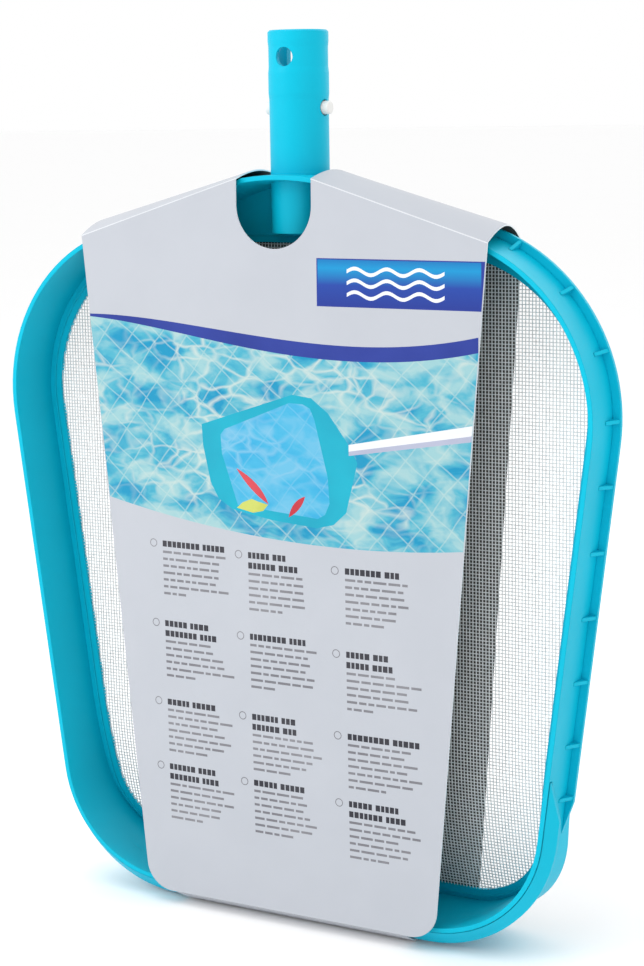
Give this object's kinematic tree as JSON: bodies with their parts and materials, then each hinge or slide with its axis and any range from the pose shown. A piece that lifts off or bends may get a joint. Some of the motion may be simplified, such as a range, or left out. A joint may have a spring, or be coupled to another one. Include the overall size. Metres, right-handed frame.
{
  "type": "leaf skimmer net",
  "caption": "Flat blue pool leaf skimmer head with a white mesh, a stem for a telescopic pole, sprung push buttons and its printed card sleeve.",
  "frame": {"origin": "on the stem's axis at its free end, where the pole slides on", "axes": "+Z along the stem towards the pole, X across the head, -Y towards the open side of the tray"},
  "size_m": [0.2894, 0.0448, 0.386],
  "materials": {
    "blue_plastic": "satin",
    "white_mesh": "woven",
    "white_plastic": "satin",
    "printed_card": "coated"
  },
  "bodies": {
    "skimmer_head": {"stem_tube": "blue_plastic", "tray_wall": "blue_plastic", "net_edge_strip": "blue_plastic", "mesh_net": "white_mesh", "right_flange": "blue_plastic", "left_flange": "blue_plastic", "right_ribs": "blue_plastic", "left_ribs": "blue_plastic", "scoop_lip": "blue_plastic", "clip_bend": "white_plastic", "sleeve_front": "printed_card", "sleeve_back": "printed_card", "sleeve_right_fold": "printed_card", "sleeve_left_fold": "printed_card", "sleeve_underfold": "printed_card"},
    "right_clip": {"right_clip_arm": "white_plastic", "right_button": "white_plastic"},
    "left_clip": {"left_clip_arm": "white_plastic", "left_button": "white_plastic"}
  },
  "joints": [
    {"name": "right_button_press", "type": "hinge", "parent": "skimmer_head", "child": "right_clip", "pos_m": [0.0076, 0, -0.0596], "axis": [0, -1, 0], "range_deg": [0, 5.2], "stiffness_Nm_per_rad": 2.6},
    {"name": "left_button_press", "type": "hinge", "parent": "skimmer_head", "child": "left_clip", "pos_m": [-0.0076, 0, -0.0596], "axis": [0, 1, 0], "range_deg": [0, 5.2], "stiffness_Nm_per_rad": 2.6}
  ]
}
